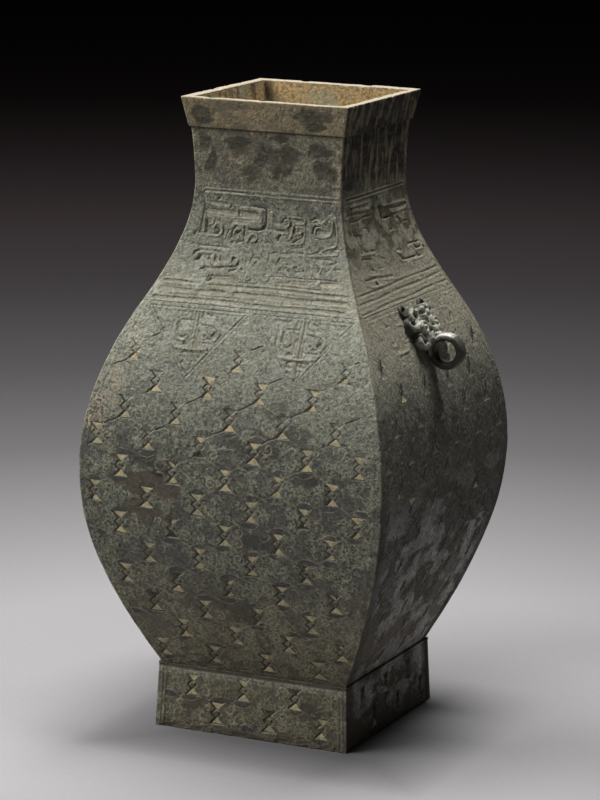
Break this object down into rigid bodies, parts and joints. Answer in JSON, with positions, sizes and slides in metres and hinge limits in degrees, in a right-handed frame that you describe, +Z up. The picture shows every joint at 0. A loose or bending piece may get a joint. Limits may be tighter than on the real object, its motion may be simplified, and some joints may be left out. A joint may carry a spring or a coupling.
{
  "type": "square ritual wine vessel",
  "caption": "Tall square bronze wine jar with a flared collar, narrow neck, swelling belly, hollow foot and a beast mask with a strap loop on each side.",
  "frame": {"origin": "centre of the foot's bottom face, on the surface the vessel stands on", "axes": "+Z up along the vessel's axis, -Y out of the front face, +X out of the side face with the visible mask"},
  "size_m": [0.2274, 0.2052, 0.4],
  "materials": {
    "bronze_patina": "corroded grey-green patina with tan fills",
    "mask_bronze": "rubbed grey-green patina",
    "solder": "dull grey solder",
    "spacer_bronze": "corroded brown bronze"
  },
  "bodies": {
    "root": {"vessel_body": "bronze_patina", "mask_loop_right": "mask_bronze", "mask_loop_left": "mask_bronze", "solder_bead_right": "solder", "solder_bead_left": "solder", "floor_spacer_1": "spacer_bronze", "floor_spacer_2": "spacer_bronze", "floor_spacer_3": "spacer_bronze", "floor_spacer_4": "spacer_bronze"}
  },
  "joints": []
}
